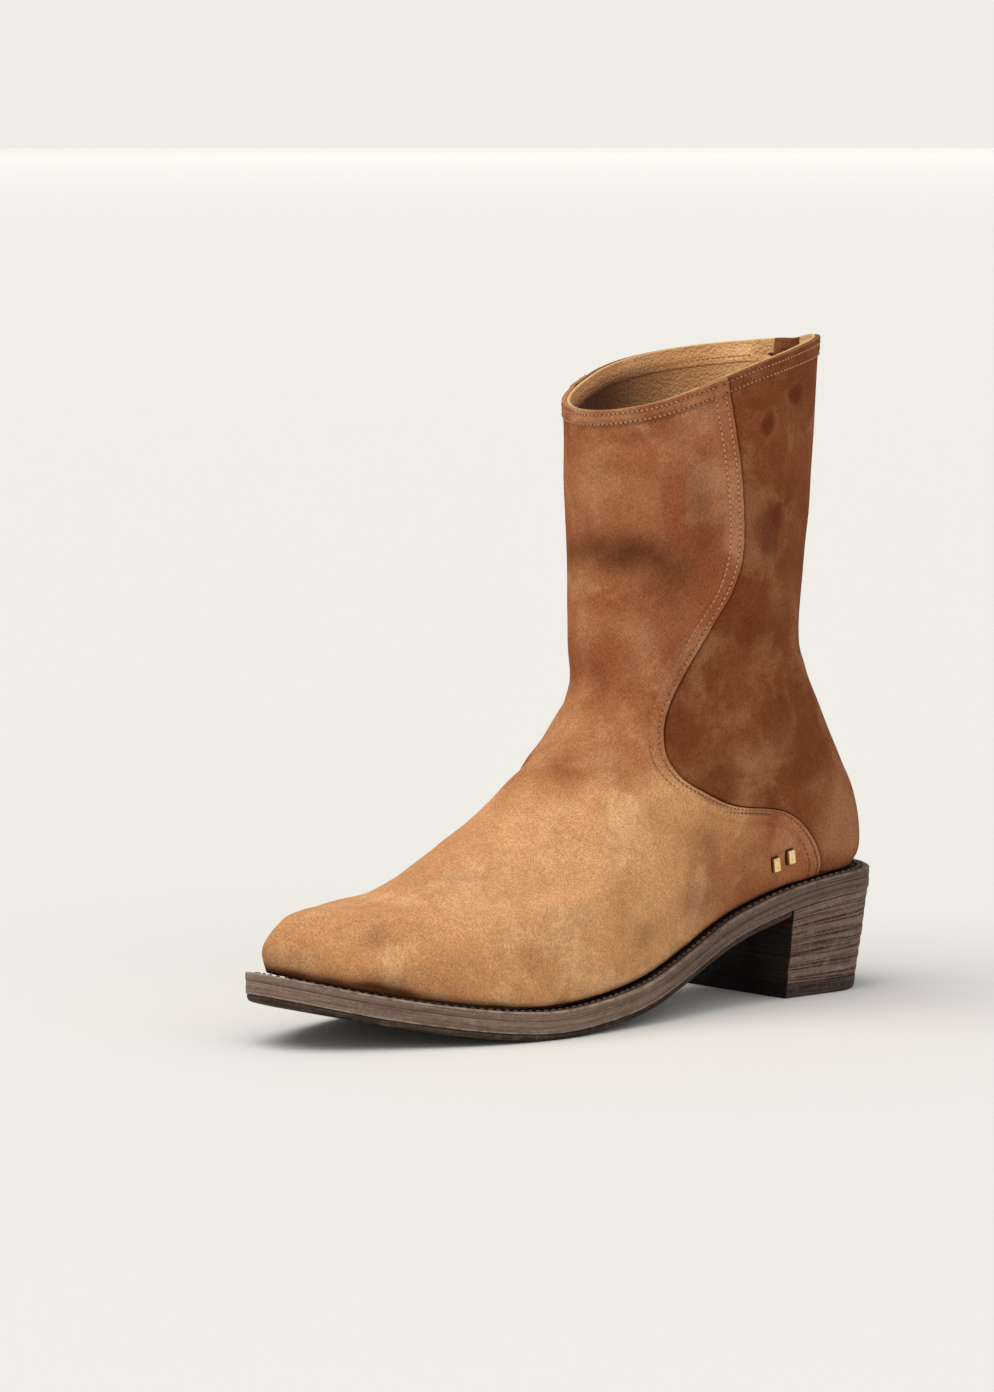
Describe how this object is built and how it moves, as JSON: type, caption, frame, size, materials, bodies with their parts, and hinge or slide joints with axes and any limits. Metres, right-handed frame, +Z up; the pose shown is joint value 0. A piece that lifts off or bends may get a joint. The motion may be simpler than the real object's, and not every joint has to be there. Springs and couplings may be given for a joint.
{
  "type": "ankle boot",
  "caption": "Western ankle boot in two suedes with a pointed toe, back zip, all-round welt and stacked block heel; the zip slider and its pull move.",
  "frame": {"origin": "on the ground, under the centre of the boot's bounding box", "axes": "+Z up; the toe points along -Y; the outer side of the foot is on +X"},
  "size_m": [0.1044, 0.305, 0.2702],
  "materials": {
    "light_suede": "honey suede with a mottled nap",
    "dark_suede": "brown suede with a mottled nap",
    "lining_leather": "tan pebbled lining leather",
    "sole_leather": "greyish brown stained stacked leather",
    "black_rubber": "matt black rubber",
    "fibre_board": "pressed leather board",
    "cork": "pressed cork",
    "spring_steel": "plain steel",
    "gold_stud": "polished light gold plate",
    "zip_tape": "black woven tape",
    "zip_metal": "black nickel on brass"
  },
  "bodies": {
    "boot": {"front_panel": "light_suede", "lateral_quarter": "dark_suede", "medial_quarter": "dark_suede", "collar_facing": "lining_leather", "vamp_lining": "lining_leather", "lateral_quarter_lining": "lining_leather", "medial_quarter_lining": "lining_leather", "zip_guard": "dark_suede", "heel_counter": "fibre_board", "toe_puff": "fibre_board", "zip_tape_lateral": "zip_tape", "zip_tape_medial": "zip_tape", "zip_teeth_lateral": "zip_metal", "zip_teeth_medial": "zip_metal", "zip_bottom_stop": "zip_metal", "zip_top_stop_lateral": "zip_metal", "zip_top_stop_medial": "zip_metal", "stud_front": "gold_stud", "stud_rear": "gold_stud", "welt": "sole_leather", "outsole": "sole_leather", "heel_lift_1": "sole_leather", "heel_lift_2": "sole_leather", "heel_lift_3": "sole_leather", "heel_lift_4": "sole_leather", "heel_lift_5": "sole_leather", "heel_lift_6": "sole_leather", "heel_lift_7": "sole_leather", "rubber_sole": "black_rubber", "rubber_top_lift": "black_rubber", "insole_board": "fibre_board", "sock_lining": "lining_leather", "cork_filler": "cork", "shank": "spring_steel", "heel_screw": "spring_steel"},
    "slider": {"zip_slider": "zip_metal"},
    "pull": {"zip_pull": "zip_metal"}
  },
  "joints": [
    {"name": "zip_slide", "type": "slide", "parent": "boot", "child": "slider", "axis": [0, -0.0734, -0.9973], "range_m": [0, 0.086]},
    {"name": "pull_hinge", "type": "hinge", "parent": "slider", "child": "pull", "pos_m": [0.00025, 0.12739, 0.25303], "axis": [1, 0, 0], "range_deg": [-3, 150]}
  ]
}
